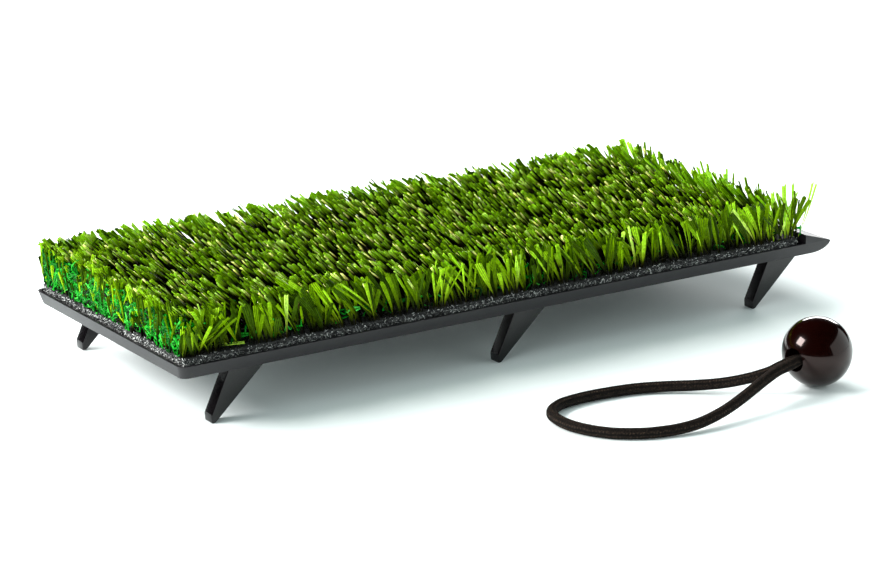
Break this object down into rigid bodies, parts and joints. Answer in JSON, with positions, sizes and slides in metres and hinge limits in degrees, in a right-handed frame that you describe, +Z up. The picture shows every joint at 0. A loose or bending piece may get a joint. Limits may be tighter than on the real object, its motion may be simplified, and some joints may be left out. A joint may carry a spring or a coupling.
{
  "type": "golf hitting mat",
  "caption": "Portable strip of artificial turf in a shallow spiked tray for hitting golf shots, with a loose ball bungee to strap it to a bag.",
  "frame": {"origin": "on the ground, under the middle of the mat's tray, the loose bungee left out", "axes": "+X along the mat to its ramp end, +Y across it, +Z up; the spikes' tips point to -X, the way of a swing"},
  "size_m": [0.341, 0.2447, 0.0505],
  "materials": {
    "tray_plastic": "satin black moulded plastic",
    "spike_plastic": "polished black moulded plastic",
    "screw_steel": "zinc plated",
    "adhesive": "translucent adhesive film",
    "pad_fibre": "speckled bonded fibre",
    "backing_fabric": "woven backing with latex coat",
    "pile_yarn": "ribbon yarn turf",
    "cord_braid": "braided elastic cord",
    "ball_plastic": "high gloss black plastic",
    "crimp_steel": "zinc plated"
  },
  "bodies": {
    "mat": {"tray": "tray_plastic", "spike_front_1": "spike_plastic", "spike_front_2": "spike_plastic", "spike_front_3": "spike_plastic", "spike_back_1": "spike_plastic", "spike_back_2": "spike_plastic", "spike_back_3": "spike_plastic", "screw_front_1": "screw_steel", "screw_front_2": "screw_steel", "screw_front_3": "screw_steel", "screw_back_1": "screw_steel", "screw_back_2": "screw_steel", "screw_back_3": "screw_steel", "adhesive_sheet": "adhesive", "shock_pad": "pad_fibre", "primary_backing": "backing_fabric", "turf_pile": "pile_yarn"},
    "bungee": {"bungee_cord": "cord_braid", "bungee_crimp": "crimp_steel"},
    "ball": {"bungee_ball": "ball_plastic"}
  },
  "joints": [
    {"name": "bungee_lift", "type": "slide", "parent": "mat", "child": "bungee", "axis": [0, 0, 1], "range_m": [0, 0.1]},
    {"name": "ball_spin", "type": "hinge", "parent": "bungee", "child": "ball", "pos_m": [0.0827, -0.1588, 0.015], "axis": [-0.9927, -0.1043, -0.061], "continuous": true}
  ]
}
